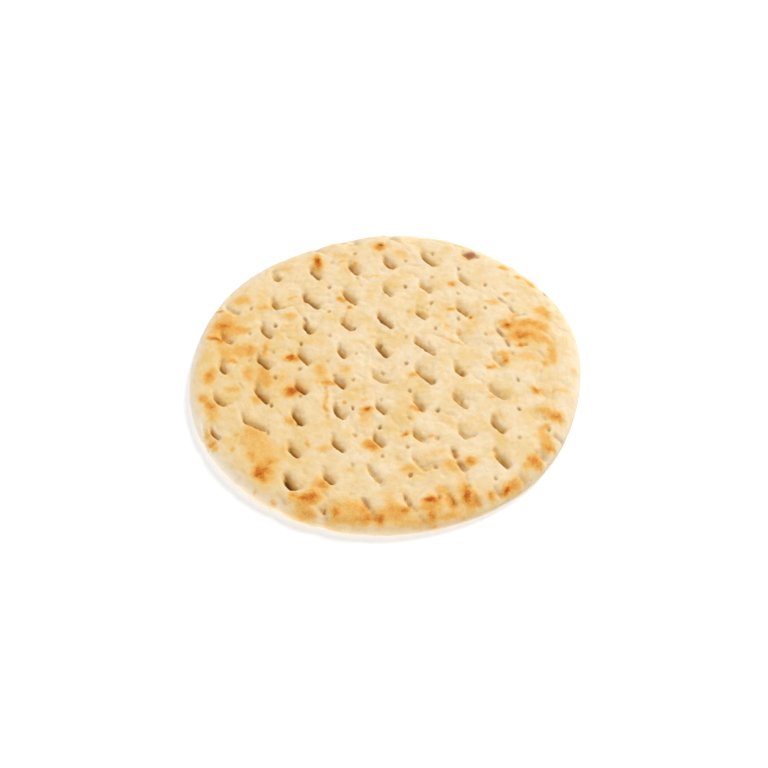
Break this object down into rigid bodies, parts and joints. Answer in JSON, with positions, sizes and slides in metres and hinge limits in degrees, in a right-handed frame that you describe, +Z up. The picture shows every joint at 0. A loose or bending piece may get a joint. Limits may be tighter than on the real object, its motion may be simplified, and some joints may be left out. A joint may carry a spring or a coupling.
{
  "type": "pita bread",
  "caption": "Round pocketless flatbread with a lattice of pressed dimples, docking holes and a rounded, creased rim, lying flat.",
  "frame": {"origin": "middle of the resting face, on the surface the bread lies on", "axes": "+Z up, out of the dimpled crust; +X to the right of someone looking at the bread from its front, -Y"},
  "size_m": [0.172, 0.1726, 0.0106],
  "materials": {
    "crust": "matte, floury baked crust with toasted spots"
  },
  "bodies": {
    "root": {"pita_bread": "crust"}
  },
  "joints": []
}
